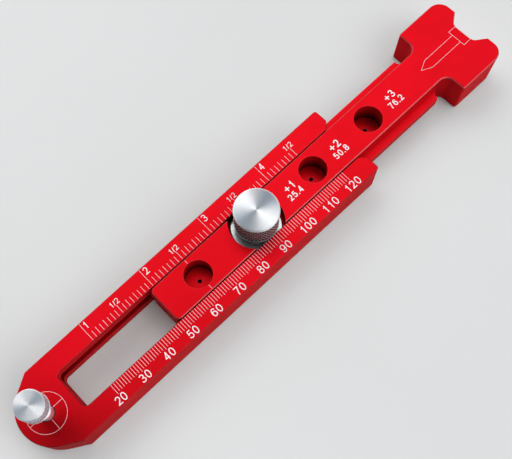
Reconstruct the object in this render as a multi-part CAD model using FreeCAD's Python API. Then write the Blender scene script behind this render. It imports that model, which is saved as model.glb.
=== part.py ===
import FreeCAD, Part
import math
import os

# A small beam compass for pencil work, lying flat as it does on a bench.
# Two rails joined at the pivot end make a frame, and a bar with a T-shaped head slides between them.
# X runs from the pivot along the beam to the head, Y runs across it towards the inch scale, Z is up.
# The origin is on the pivot axis, at the flat underside. All lengths are in millimetres.

INCH = 25.4

# Frame: two rails and the nose that joins them
THICKNESS = 12.0
FRAME_WIDTH = 28.8
RAIL_REACH = 129.8
NOSE_REACH = 9.45
NOSE_CORNER_X = 3.0
NOSE_ANGLE = math.radians(30.5)
NOSE_CORNER_RADIUS = 1.2
RAIL_CORNER_RADIUS = 0.9
SLOT_START_X = 9.8
SLOT_WIDTH = 14.2
SLOT_CORNER_RADIUS = 1.6
MOUTH_CHAMFER = 2.2
LIP_THICKNESS = 3.95
GROOVE_DEPTH = 2.8
EDGE_BREAK = 0.3

# Bar: slides in the grooves and carries the pencil pockets
REST_READING = 63.5
POCKET_STEPS = (0, 2, 3)
LOCK_STEP_COUNT = 1
BAR_NOSE_LENGTH = 14.8
BAR_NECK_LENGTH = 29.65
BAR_CORNER_RADIUS = 1.7
BAR_SIDE_GAP = 0.35
TONGUE_SIDE_GAP = 0.15
TONGUE_PLAY = 0.1
POCKET_DIAMETER = 9.5
POCKET_DEPTH = 7.5
LEAD_HOLE_DIAMETER = 1.2
POCKET_CONE_DEPTH = 0.2

# Head: a T with rounded ends, a notch in its end face and round reliefs behind its shoulders
HEAD_LENGTH = 19.5
HEAD_CORNER_RADIUS = 4.4
SHOULDER_CORNER_RADIUS = 0.8
RELIEF_RADIUS = 3.0
NOTCH_DEPTH = 3.95
NOTCH_MOUTH_WIDTH = 14.4
NOTCH_FLOOR_WIDTH = 8.5
NOTCH_FLOOR_RADIUS = 2.0
NOTCH_TIP_RADIUS = 0.4

# Lock: a knob on a fixed screw lifts a steel disc against the undersides of the upper lips
LOCK_RISE = 0.2
LOCK_CONTACT_GAP = 0.05
DISC_DIAMETER = 17.0
DISC_THICKNESS = 1.5
DISC_CHAMFER = 0.25
RECESS_SIDE_GAP = 0.8
RECESS_FLOOR_GAP = 0.1
LOCK_KNOB_DIAMETER = 14.6
LOCK_KNOB_HEIGHT = 9.2
LOCK_KNOB_LIFT = 0.4
LOCK_KNOB_CHAMFER = 0.45
LOCK_NECK_DIAMETER = 8.4
LOCK_SPIGOT_DIAMETER = 7.2
LOCK_SCREW_DIAMETER = 5.0
LOCK_SCREW_ROOM = 0.5
LOCK_SCREW_LENGTH = 17.3
SCREW_HEAD_DIAMETER = 9.0
SCREW_HEAD_SINK = 0.2
SCREW_SOCKET_WIDTH = 3.0
SCREW_SOCKET_DEPTH = 1.8
SCREW_CHAMFER = 0.4

# Retaining rings: open spring rings that sit in turned grooves
RING_THICKNESS = 0.6
RING_AXIAL_PLAY = 0.05
RING_GROOVE_DEPTH = 0.5
RING_WIDTH = 1.3
RING_MOUTH_WIDTH = 3.0
LAND_BELOW_RING = 0.6
RING_WELL_GAP = 0.4

# Centre point: a needle in a sliding stem, with a knob on top
STEM_DIAMETER = 5.0
POINT_TRAVEL = 6.5
PIVOT_COLLAR_DIAMETER = 6.6
PIVOT_COLLAR_HEIGHT = 5.9
PIVOT_KNOB_DIAMETER = 9.4
PIVOT_KNOB_HEIGHT = 6.0
PIVOT_KNOB_CHAMFER = 0.3
STEM_END_CLEARANCE = 0.25
STEM_SPIGOT_DIAMETER = 3.5
STEM_SPIGOT_LENGTH = 8.5
NEEDLE_DIAMETER = 1.6
NEEDLE_SEAT_LENGTH = 10.0
NEEDLE_POINT_SINK = 0.5
RING_POCKET_DIAMETER = 9.4
CEILING_GAP = 0.05
SEAL_WIRE_DIAMETER = 1.2
SEAL_DEPTH = 1.7

# Fits and helpers
RUNNING_FIT = 0.05
SEAT_CLEARANCE = 0.03
OVERRUN = 2.0
CORNER_LIMIT_SHARE = 0.8

# Places that follow from the sizes above
HALF_WIDTH = FRAME_WIDTH / 2
HALF_SLOT = SLOT_WIDTH / 2
HALF_GROOVE = HALF_SLOT + GROOVE_DEPTH
GROOVE_TOP_Z = THICKNESS - LIP_THICKNESS
HALF_BAR = HALF_SLOT - BAR_SIDE_GAP
HALF_TONGUE = HALF_GROOVE - TONGUE_SIDE_GAP
TONGUE_BOTTOM_Z = LIP_THICKNESS + TONGUE_PLAY
TONGUE_TOP_Z = GROOVE_TOP_Z - TONGUE_PLAY
BAR_START_X = REST_READING - BAR_NOSE_LENGTH
LOCK_X = REST_READING + LOCK_STEP_COUNT * INCH
SHOULDER_X = REST_READING + POCKET_STEPS[-1] * INCH + BAR_NECK_LENGTH
HEAD_END_X = SHOULDER_X + HEAD_LENGTH

DISC_TOP_Z = GROOVE_TOP_Z - LOCK_CONTACT_GAP - LOCK_RISE
DISC_BOTTOM_Z = DISC_TOP_Z - DISC_THICKNESS
RECESS_RADIUS = DISC_DIAMETER / 2 + RECESS_SIDE_GAP
RECESS_FLOOR_Z = DISC_BOTTOM_Z - RECESS_FLOOR_GAP
LOCK_RING_TOP_Z = DISC_BOTTOM_Z - RING_AXIAL_PLAY
LOCK_RING_BOTTOM_Z = LOCK_RING_TOP_Z - RING_THICKNESS
LOCK_SPIGOT_END_Z = LOCK_RING_BOTTOM_Z - RING_AXIAL_PLAY - LAND_BELOW_RING
RING_WELL_FLOOR_Z = LOCK_SPIGOT_END_Z - RING_WELL_GAP
LOCK_KNOB_BASE_Z = THICKNESS + LOCK_KNOB_LIFT
LOCK_SCREW_TOP_Z = SCREW_HEAD_SINK + LOCK_SCREW_LENGTH

COLLAR_BASE_Z = THICKNESS + POINT_TRAVEL
PIVOT_KNOB_BASE_Z = COLLAR_BASE_Z + PIVOT_COLLAR_HEIGHT
STEM_END_Z = POINT_TRAVEL + STEM_END_CLEARANCE
PIVOT_RING_BOTTOM_Z = STEM_END_Z + LAND_BELOW_RING + RING_AXIAL_PLAY
PIVOT_RING_TOP_Z = PIVOT_RING_BOTTOM_Z + RING_THICKNESS
RING_POCKET_TOP_Z = PIVOT_RING_TOP_Z + CEILING_GAP
SEAL_TOP_Z = THICKNESS - SEAL_DEPTH
UP = FreeCAD.Vector(0, 0, 1)


def vec(x, y, z=0):
    return FreeCAD.Vector(x, y, z)


def cylinder(diameter, z_low, z_high, x=0, y=0):
    return Part.makeCylinder(diameter / 2, z_high - z_low, vec(x, y, z_low))


def cone(diameter_low, diameter_high, z_low, z_high, x=0):
    return Part.makeCone(diameter_low / 2, diameter_high / 2, z_high - z_low, vec(x, 0, z_low))


def block(x_low, x_high, y_low, y_high, z_low, z_high):
    return Part.makeBox(x_high - x_low, y_high - y_low, z_high - z_low, vec(x_low, y_low, z_low))


def rounded_face(corners):
    """A flat face at z = 0 through (x, y, radius) corners, each rounded by its own radius."""
    starts, ends, middles = [], [], []
    count = len(corners)
    for index, (x, y, radius) in enumerate(corners):
        point = vec(x, y)
        before = vec(*corners[index - 1][:2]) - point
        after = vec(*corners[(index + 1) % count][:2]) - point
        half_angle = before.getAngle(after) / 2
        reach = min(radius / math.tan(half_angle), CORNER_LIMIT_SHARE * min(before.Length, after.Length))
        before.normalize()
        after.normalize()
        bisector = before + after
        bisector.normalize()
        fitted = reach * math.tan(half_angle)
        starts.append(point + before * reach)
        ends.append(point + after * reach)
        middles.append(point + bisector * (fitted / math.sin(half_angle) - fitted))
    edges = []
    for index in range(count):
        if corners[index][2] > 0:
            edges.append(Part.Arc(starts[index], middles[index], ends[index]).toShape())
        edges.append(Part.LineSegment(ends[index], starts[(index + 1) % count]).toShape())
    return Part.Face(Part.Wire(edges))


def plate(corners, z_low, z_high):
    """A plate with the rounded outline, from z_low to z_high."""
    face = rounded_face(corners)
    face.translate(UP * z_low)
    return face.extrude(UP * (z_high - z_low))


def break_level_edges(solid, levels, size):
    """Chamfers every edge that lies flat at one of the levels."""
    chosen = []
    for edge in solid.Edges:
        box = edge.BoundBox
        if any(max(abs(box.ZMin - z), abs(box.ZMax - z)) < RUNNING_FIT / 10 for z in levels):
            chosen.append(edge)
    return solid.makeChamfer(size, chosen)


def turned(profile, x=0):
    """A solid of revolution about the vertical axis at x, from (radius, z) points."""
    points = [vec(radius, 0, z) for radius, z in profile]
    face = Part.Face(Part.makePolygon(points + points[:1]))
    solid = face.revolve(vec(0, 0, 0), UP, 360)
    solid.translate(vec(x, 0, 0))
    return solid


def mirrored_in_y(shape):
    return shape.mirror(vec(0, 0, 0), vec(0, 1, 0))


def export(name, shape):
    shape.exportStep(os.path.join("parts", name + ".step"))
    print(f"{name}: {len(shape.Solids)} solid, valid {shape.isValid()}, {shape.Volume:.1f} mm3")


def frame():
    """Rails, nose and slot in one piece, grooved inside for the bar's tongues."""
    half_mouth = HALF_SLOT + MOUTH_CHAMFER
    mouth_x = RAIL_REACH - MOUTH_CHAMFER
    apex_x = NOSE_CORNER_X - HALF_WIDTH / math.tan(NOSE_ANGLE)
    nose_radius = (-NOSE_REACH - apex_x) / (1 / math.sin(NOSE_ANGLE) - 1)
    outline = [
        (RAIL_REACH, -HALF_WIDTH, RAIL_CORNER_RADIUS),
        (RAIL_REACH, -half_mouth, RAIL_CORNER_RADIUS),
        (mouth_x, -HALF_SLOT, RAIL_CORNER_RADIUS),
        (SLOT_START_X, -HALF_SLOT, SLOT_CORNER_RADIUS),
        (SLOT_START_X, HALF_SLOT, SLOT_CORNER_RADIUS),
        (mouth_x, HALF_SLOT, RAIL_CORNER_RADIUS),
        (RAIL_REACH, half_mouth, RAIL_CORNER_RADIUS),
        (RAIL_REACH, HALF_WIDTH, RAIL_CORNER_RADIUS),
        (NOSE_CORNER_X, HALF_WIDTH, NOSE_CORNER_RADIUS),
        (apex_x, 0, nose_radius),
        (NOSE_CORNER_X, -HALF_WIDTH, NOSE_CORNER_RADIUS),
    ]
    body = break_level_edges(plate(outline, 0, THICKNESS), (0, THICKNESS), EDGE_BREAK)
    groove_radius = SLOT_CORNER_RADIUS + GROOVE_DEPTH
    groove = plate([
        (SLOT_START_X - GROOVE_DEPTH, -HALF_GROOVE, groove_radius),
        (RAIL_REACH + OVERRUN, -HALF_GROOVE, 0),
        (RAIL_REACH + OVERRUN, HALF_GROOVE, 0),
        (SLOT_START_X - GROOVE_DEPTH, HALF_GROOVE, groove_radius),
    ], LIP_THICKNESS, GROOVE_TOP_Z)
    bore_diameter = STEM_DIAMETER + 2 * RUNNING_FIT
    seal_diameter = bore_diameter + 2 * SEAL_WIRE_DIAMETER
    cuts = [
        groove,
        cylinder(bore_diameter, 0, THICKNESS + OVERRUN),
        cylinder(RING_POCKET_DIAMETER, -OVERRUN, RING_POCKET_TOP_Z),
        cylinder(seal_diameter, SEAL_TOP_Z - SEAL_WIRE_DIAMETER - RUNNING_FIT, SEAL_TOP_Z + RUNNING_FIT),
        cone(bore_diameter, bore_diameter + 2 * EDGE_BREAK, THICKNESS - EDGE_BREAK, THICKNESS),
    ]
    return body.cut(cuts).removeSplitter()


def head():
    """The T-shaped end of the bar, with its notch."""
    notch_x = HEAD_END_X - NOTCH_DEPTH
    half_mouth = NOTCH_MOUTH_WIDTH / 2
    half_floor = NOTCH_FLOOR_WIDTH / 2
    return plate([
        (SHOULDER_X, -HALF_WIDTH, SHOULDER_CORNER_RADIUS),
        (HEAD_END_X, -HALF_WIDTH, HEAD_CORNER_RADIUS),
        (HEAD_END_X, -half_mouth, NOTCH_TIP_RADIUS),
        (notch_x, -half_floor, NOTCH_FLOOR_RADIUS),
        (notch_x, half_floor, NOTCH_FLOOR_RADIUS),
        (HEAD_END_X, half_mouth, NOTCH_TIP_RADIUS),
        (HEAD_END_X, HALF_WIDTH, HEAD_CORNER_RADIUS),
        (SHOULDER_X, HALF_WIDTH, SHOULDER_CORNER_RADIUS),
    ], 0, THICKNESS)


def slider():
    """Bar, tongues and head in one piece, with the pencil pockets and the lock's recess."""
    web_end_x = SHOULDER_X + HEAD_CORNER_RADIUS
    web = plate([
        (BAR_START_X, -HALF_BAR, BAR_CORNER_RADIUS),
        (web_end_x, -HALF_BAR, 0),
        (web_end_x, HALF_BAR, 0),
        (BAR_START_X, HALF_BAR, BAR_CORNER_RADIUS),
    ], 0, THICKNESS)
    tongue = plate([
        (BAR_START_X, -HALF_TONGUE, BAR_CORNER_RADIUS),
        (SHOULDER_X, -HALF_TONGUE, 0),
        (SHOULDER_X, HALF_TONGUE, 0),
        (BAR_START_X, HALF_TONGUE, BAR_CORNER_RADIUS),
    ], TONGUE_BOTTOM_Z, TONGUE_TOP_Z)
    relief_x = SHOULDER_X - RELIEF_RADIUS
    relief_y = HALF_BAR + RELIEF_RADIUS
    neck = block(relief_x, web_end_x, -relief_y, relief_y, 0, THICKNESS)
    body = web.fuse([tongue, neck, head()])
    relief = cylinder(2 * RELIEF_RADIUS, -OVERRUN, THICKNESS + OVERRUN, relief_x, relief_y)
    runout = block(relief_x - RELIEF_RADIUS, SHOULDER_X, relief_y, relief_y + HALF_TONGUE,
                   -OVERRUN, THICKNESS + OVERRUN)
    cutter = relief.fuse(runout)
    body = body.cut([cutter, mirrored_in_y(cutter)]).removeSplitter()
    body = break_level_edges(body, (0, THICKNESS), EDGE_BREAK)
    floor_z = THICKNESS - POCKET_DEPTH
    well_diameter = LOCK_SPIGOT_DIAMETER + 2 * (RING_WIDTH - RING_GROOVE_DEPTH + RING_WELL_GAP)
    head_depth = (SCREW_HEAD_DIAMETER - LOCK_SCREW_DIAMETER) / 2
    wide = SCREW_HEAD_DIAMETER + 2 * RUNNING_FIT
    narrow = LOCK_SCREW_DIAMETER + 2 * RUNNING_FIT
    cuts = [
        cylinder(2 * RECESS_RADIUS, RECESS_FLOOR_Z, THICKNESS + OVERRUN, LOCK_X),
        cylinder(well_diameter, RING_WELL_FLOOR_Z, RECESS_FLOOR_Z + EDGE_BREAK, LOCK_X),
        cylinder(LOCK_SCREW_DIAMETER + 2 * SEAT_CLEARANCE, 0, RING_WELL_FLOOR_Z + EDGE_BREAK, LOCK_X),
        cylinder(wide, -OVERRUN, SCREW_HEAD_SINK, LOCK_X),
        cone(wide, narrow, SCREW_HEAD_SINK, SCREW_HEAD_SINK + head_depth, LOCK_X),
    ]
    for step in POCKET_STEPS:
        pocket_x = REST_READING + step * INCH
        cuts.append(cylinder(POCKET_DIAMETER, floor_z, THICKNESS + OVERRUN, pocket_x))
        cuts.append(cylinder(LEAD_HOLE_DIAMETER, -OVERRUN, floor_z + EDGE_BREAK, pocket_x))
        mouth = LEAD_HOLE_DIAMETER + 2 * POCKET_CONE_DEPTH
        cuts.append(cone(LEAD_HOLE_DIAMETER, mouth, floor_z - POCKET_CONE_DEPTH, floor_z, pocket_x))
    return body.cut(cuts).removeSplitter()


def retaining_ring(inner_diameter, z_low, x):
    """An open spring ring, with its mouth towards the head."""
    outer_diameter = inner_diameter + 2 * RING_WIDTH
    z_high = z_low + RING_THICKNESS
    ring = cylinder(outer_diameter, z_low, z_high, x).cut(cylinder(inner_diameter, z_low, z_high, x))
    half_mouth = RING_MOUTH_WIDTH / 2
    mouth = block(x, x + outer_diameter, -half_mouth, half_mouth, z_low - OVERRUN, z_high + OVERRUN)
    return ring.cut(mouth)


def lock_disc():
    """The steel disc that grips the rails: its rim lies under both upper lips."""
    disc = cylinder(DISC_DIAMETER, DISC_BOTTOM_Z, DISC_TOP_Z, LOCK_X)
    disc = break_level_edges(disc, (DISC_BOTTOM_Z, DISC_TOP_Z), DISC_CHAMFER)
    return disc.cut(cylinder(LOCK_SPIGOT_DIAMETER + 2 * RUNNING_FIT, 0, THICKNESS, LOCK_X))


def lock_knob():
    """Knob, neck and spigot turned from one bar, with a blind thread from below."""
    head_radius = LOCK_KNOB_DIAMETER / 2
    neck_radius = LOCK_NECK_DIAMETER / 2
    spigot_radius = LOCK_SPIGOT_DIAMETER / 2
    groove_radius = spigot_radius - RING_GROOVE_DEPTH
    bore_radius = LOCK_SCREW_DIAMETER / 2 + RUNNING_FIT
    top_z = LOCK_KNOB_BASE_Z + LOCK_KNOB_HEIGHT
    bore_top_z = LOCK_SCREW_TOP_Z + LOCK_SCREW_ROOM
    return turned([
        (0, top_z),
        (head_radius - LOCK_KNOB_CHAMFER, top_z),
        (head_radius, top_z - LOCK_KNOB_CHAMFER),
        (head_radius, LOCK_KNOB_BASE_Z + LOCK_KNOB_CHAMFER),
        (head_radius - LOCK_KNOB_CHAMFER, LOCK_KNOB_BASE_Z),
        (neck_radius, LOCK_KNOB_BASE_Z),
        (neck_radius, DISC_TOP_Z + RING_AXIAL_PLAY),
        (spigot_radius, DISC_TOP_Z + RING_AXIAL_PLAY),
        (spigot_radius, LOCK_RING_TOP_Z + RING_AXIAL_PLAY),
        (groove_radius, LOCK_RING_TOP_Z + RING_AXIAL_PLAY),
        (groove_radius, LOCK_RING_BOTTOM_Z - RING_AXIAL_PLAY),
        (spigot_radius, LOCK_RING_BOTTOM_Z - RING_AXIAL_PLAY),
        (spigot_radius, LOCK_SPIGOT_END_Z),
        (bore_radius, LOCK_SPIGOT_END_Z),
        (bore_radius, bore_top_z),
        (0, bore_top_z),
    ], LOCK_X)


def lock_ring():
    """Holds the disc on the knob's spigot."""
    inner = LOCK_SPIGOT_DIAMETER - 2 * RING_GROOVE_DEPTH + 2 * SEAT_CLEARANCE
    return retaining_ring(inner, LOCK_RING_BOTTOM_Z, LOCK_X)


def lock_screw():
    """Countersunk screw, fixed in the bar from below; the knob runs on its thread."""
    radius = LOCK_SCREW_DIAMETER / 2
    head_radius = SCREW_HEAD_DIAMETER / 2
    screw = turned([
        (0, SCREW_HEAD_SINK),
        (head_radius, SCREW_HEAD_SINK),
        (radius, SCREW_HEAD_SINK + head_radius - radius),
        (radius, LOCK_SCREW_TOP_Z - SCREW_CHAMFER),
        (radius - SCREW_CHAMFER, LOCK_SCREW_TOP_Z),
        (0, LOCK_SCREW_TOP_Z),
    ], LOCK_X)
    corner_radius = SCREW_SOCKET_WIDTH / math.sqrt(3)
    corners = []
    for side in range(6):
        angle = math.pi / 3 * side
        corners.append((LOCK_X + corner_radius * math.cos(angle), corner_radius * math.sin(angle), 0))
    return screw.cut(plate(corners, 0, SCREW_HEAD_SINK + SCREW_SOCKET_DEPTH))


def pivot_stem():
    """Steel stem that slides in the nose, with a spigot for the knob and a seat for the needle."""
    radius = STEM_DIAMETER / 2
    groove_radius = radius - RING_GROOVE_DEPTH
    spigot_radius = STEM_SPIGOT_DIAMETER / 2
    spigot_top_z = COLLAR_BASE_Z + STEM_SPIGOT_LENGTH
    seat_radius = NEEDLE_DIAMETER / 2 + SEAT_CLEARANCE
    seat_top_z = STEM_END_Z + NEEDLE_SEAT_LENGTH + SEAT_CLEARANCE
    return turned([
        (seat_radius, STEM_END_Z),
        (radius - EDGE_BREAK, STEM_END_Z),
        (radius, STEM_END_Z + EDGE_BREAK),
        (radius, PIVOT_RING_BOTTOM_Z - RING_AXIAL_PLAY),
        (groove_radius, PIVOT_RING_BOTTOM_Z - RING_AXIAL_PLAY),
        (groove_radius, PIVOT_RING_TOP_Z + RING_AXIAL_PLAY),
        (radius, PIVOT_RING_TOP_Z + RING_AXIAL_PLAY),
        (radius, COLLAR_BASE_Z),
        (spigot_radius, COLLAR_BASE_Z),
        (spigot_radius, spigot_top_z - EDGE_BREAK),
        (spigot_radius - EDGE_BREAK, spigot_top_z),
        (0, spigot_top_z),
        (0, seat_top_z),
        (seat_radius, seat_top_z),
    ])


def pivot_knob():
    """Knurled finger knob with a plain collar below it, screwed on the stem's spigot."""
    knob_radius = PIVOT_KNOB_DIAMETER / 2
    collar_radius = PIVOT_COLLAR_DIAMETER / 2
    bore_radius = STEM_SPIGOT_DIAMETER / 2 + SEAT_CLEARANCE
    bore_top_z = COLLAR_BASE_Z + STEM_SPIGOT_LENGTH + SEAT_CLEARANCE
    top_z = PIVOT_KNOB_BASE_Z + PIVOT_KNOB_HEIGHT
    return turned([
        (0, top_z),
        (knob_radius - PIVOT_KNOB_CHAMFER, top_z),
        (knob_radius, top_z - PIVOT_KNOB_CHAMFER),
        (knob_radius, PIVOT_KNOB_BASE_Z + PIVOT_KNOB_CHAMFER),
        (knob_radius - PIVOT_KNOB_CHAMFER, PIVOT_KNOB_BASE_Z),
        (collar_radius, PIVOT_KNOB_BASE_Z),
        (collar_radius, COLLAR_BASE_Z + EDGE_BREAK),
        (collar_radius - EDGE_BREAK, COLLAR_BASE_Z),
        (bore_radius, COLLAR_BASE_Z),
        (bore_radius, bore_top_z),
        (0, bore_top_z),
    ])


def needle():
    """Hardened centre point: a pin whose tip stays inside the nose until the knob is pressed."""
    radius = NEEDLE_DIAMETER / 2
    return turned([
        (0, NEEDLE_POINT_SINK),
        (radius, STEM_END_Z),
        (radius, STEM_END_Z + NEEDLE_SEAT_LENGTH),
        (0, STEM_END_Z + NEEDLE_SEAT_LENGTH),
    ])


def pivot_ring():
    """Stops the stem from being pulled out of the nose."""
    inner = STEM_DIAMETER - 2 * RING_GROOVE_DEPTH + 2 * RUNNING_FIT
    return retaining_ring(inner, PIVOT_RING_BOTTOM_Z, 0)


def pivot_seal():
    """Rubber ring in the nose that holds the stem where it is set."""
    inner_radius = STEM_DIAMETER / 2 + SEAT_CLEARANCE
    wire_radius = SEAL_WIRE_DIAMETER / 2 - SEAT_CLEARANCE / 2
    z = SEAL_TOP_Z - SEAL_WIRE_DIAMETER / 2
    return Part.makeTorus(inner_radius + wire_radius, wire_radius, vec(0, 0, z))


os.makedirs("parts", exist_ok=True)
for build in (frame, slider, lock_knob, lock_disc, lock_ring, lock_screw,
              pivot_knob, pivot_stem, needle, pivot_ring, pivot_seal):
    export(build.__name__, build())
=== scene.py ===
"""Finishes, etched scales, knurled knobs, studio and camera for a small beam compass.

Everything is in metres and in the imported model's own frame: +X runs from the centre point along
the beam to the head, +Y across it towards the inch scale, and +Z up from the flat underside.
"""
import logging
import math
from dataclasses import dataclass, fields
from enum import Enum
from typing import Sequence

import bmesh
import bpy
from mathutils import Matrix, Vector


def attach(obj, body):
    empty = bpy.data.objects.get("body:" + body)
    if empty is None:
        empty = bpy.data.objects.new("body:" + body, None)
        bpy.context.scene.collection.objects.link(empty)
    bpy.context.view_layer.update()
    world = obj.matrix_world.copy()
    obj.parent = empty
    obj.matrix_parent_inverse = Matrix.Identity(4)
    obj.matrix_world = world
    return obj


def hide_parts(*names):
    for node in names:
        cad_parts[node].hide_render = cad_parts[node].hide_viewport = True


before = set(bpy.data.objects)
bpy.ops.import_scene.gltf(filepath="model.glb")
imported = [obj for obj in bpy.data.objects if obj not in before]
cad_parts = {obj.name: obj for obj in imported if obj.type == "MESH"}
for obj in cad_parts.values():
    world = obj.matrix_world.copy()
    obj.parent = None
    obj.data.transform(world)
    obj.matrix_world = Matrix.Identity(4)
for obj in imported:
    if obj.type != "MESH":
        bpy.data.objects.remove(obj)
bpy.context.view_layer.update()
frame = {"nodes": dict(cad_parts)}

log = logging.getLogger("beam_compass")

MM = 0.001
INCH = 25.4 * MM

LOCK_X = 88.9 * MM
MERGE_REACH = 0.002 * MM

Colour = tuple[float, float, float, float]
Pair = tuple[float, float]
Triple = tuple[float, float, float]
Socket = bpy.types.NodeSocket
Feed = Socket | bpy.types.Material | float | int | bool | Sequence[float]

WHITE: Colour = (1.0, 1.0, 1.0, 1.0)

FLOAT = "NodeSocketFloat"
INTEGER = "NodeSocketInt"
MATERIAL = "NodeSocketMaterial"
GEOMETRY = "NodeSocketGeometry"


class Body(Enum):
    """The moving bodies that pieces ride on."""

    FRAME = "frame"
    SLIDER = "slider"
    LOCK_KNOB = "lock_knob"
    PIVOT_PIN = "pivot_pin"


class Side(Enum):
    """The two rails, by the sign of their Y."""

    MILLIMETRE = -1
    INCH = 1


class TreeKind(Enum):
    """The kinds of node tree that a group can have."""

    SHADER = "ShaderNodeTree"
    GEOMETRY = "GeometryNodeTree"


class TreeWriter:
    """Adds nodes to one node tree and feeds their sockets."""

    def __init__(self, tree: bpy.types.NodeTree) -> None:
        """Starts with an empty tree."""
        self.tree = tree
        self.tree.nodes.clear()

    def add(self, kind: str, feeds: dict[str | int, Feed] | None = None,
            **settings: object) -> bpy.types.Node:
        """Adds a node.

        Args:
            kind: Blender's name of the node type.
            feeds: values or sockets for its inputs, by name or number.
            **settings: properties of the node itself.

        Returns:
            The new node.
        """
        node = self.tree.nodes.new(kind)
        for name, value in settings.items():
            setattr(node, name, value)
        for key, value in (feeds or {}).items():
            if isinstance(value, bpy.types.NodeSocket):
                self.tree.links.new(value, node.inputs[key])
            else:
                node.inputs[key].default_value = value
        return node

    def math(self, operation: str, *values: Feed) -> Socket:
        """Returns the result of one Math node."""
        return self.add("ShaderNodeMath", dict(enumerate(values)), operation=operation).outputs[0]

    def times(self, *values: Feed) -> Socket:
        """Returns the product of two values."""
        return self.math("MULTIPLY", *values)

    def plus(self, *values: Feed) -> Socket:
        """Returns the sum of two values."""
        return self.math("ADD", *values)

    def minus(self, *values: Feed) -> Socket:
        """Returns the first value less the second."""
        return self.math("SUBTRACT", *values)

    def spread(self, value: Feed, low: Feed, high: Feed, start: Feed = 0.0,
               end: Feed = 1.0) -> Socket:
        """Maps a value from low..high to start..end, kept inside it.

        Args:
            value: what is mapped.
            low: the value that gives start.
            high: the value that gives end.
            start: result at low.
            end: result at high.

        Returns:
            The mapped value.
        """
        feeds = dict(enumerate((value, low, high, start, end)))
        return self.add("ShaderNodeMapRange", feeds).outputs[0]

    def blend(self, factor: Feed, first: Feed, second: Feed) -> Socket:
        """Returns first where factor is 0 and second where it is 1, as a colour."""
        node = self.add("ShaderNodeMix", {0: factor, 6: first, 7: second}, data_type="RGBA")
        return node.outputs[2]

    def noise(self, place: Feed, scale: Feed, detail: float) -> Socket:
        """Returns a noise value at a place."""
        feeds = {"Vector": place, "Scale": scale, "Detail": detail}
        return self.add("ShaderNodeTexNoise", feeds).outputs[0]

    def place(self) -> Socket:
        """Returns the point on the piece, in metres."""
        return self.add("ShaderNodeTexCoord").outputs["Object"]

    def stretched(self, scale: Triple, turn: float = 0.0) -> Socket:
        """Returns the point on the piece, scaled along each axis and turned about Z."""
        feeds = {"Vector": self.place(), "Rotation": (0.0, 0.0, turn), "Scale": scale}
        return self.add("ShaderNodeMapping", feeds).outputs[0]

    def parts(self, vector: Socket) -> tuple[Socket, Socket, Socket]:
        """Returns a vector's three components."""
        node = self.add("ShaderNodeSeparateXYZ", {0: vector})
        return node.outputs[0], node.outputs[1], node.outputs[2]

    def whole(self, x: Feed = 0.0, y: Feed = 0.0, z: Feed = 0.0) -> Socket:
        """Returns the vector with these components."""
        return self.add("ShaderNodeCombineXYZ", {0: x, 1: y, 2: z}).outputs[0]

    def compare(self, operation: str, first: Feed, second: Feed) -> Socket:
        """Returns the dot product of two vectors, or their distance."""
        feeds = {0: first, 1: second}
        return self.add("ShaderNodeVectorMath", feeds, operation=operation).outputs["Value"]

    def normal(self) -> Socket:
        """Returns the surface's own direction."""
        return self.add("ShaderNodeNewGeometry").outputs["Normal"]

    def level(self) -> Socket:
        """Returns 1 on level faces and 0 on upright ones."""
        return self.math("ABSOLUTE", self.parts(self.normal())[2])


def group_tree(name: str, kind: TreeKind, inputs: dict[str, tuple[str, float | None]],
               outputs: dict[str, str]) -> tuple[TreeWriter, bpy.types.NodeOutputs]:
    """Starts a node group with named sockets.

    Args:
        name: the group's name.
        kind: what the group is for.
        inputs: socket type and default of each input, by name.
        outputs: socket type of each output, by name.

    Returns:
        A writer for the tree, and the sockets that give its inputs.
    """
    tree = bpy.data.node_groups.new(name, kind.value)
    for title, (socket_type, default) in inputs.items():
        socket = tree.interface.new_socket(name=title, in_out="INPUT", socket_type=socket_type)
        if default is not None:
            socket.default_value = default
    for title, socket_type in outputs.items():
        tree.interface.new_socket(name=title, in_out="OUTPUT", socket_type=socket_type)
    writer = TreeWriter(tree)
    return writer, writer.add("NodeGroupInput").outputs


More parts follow.
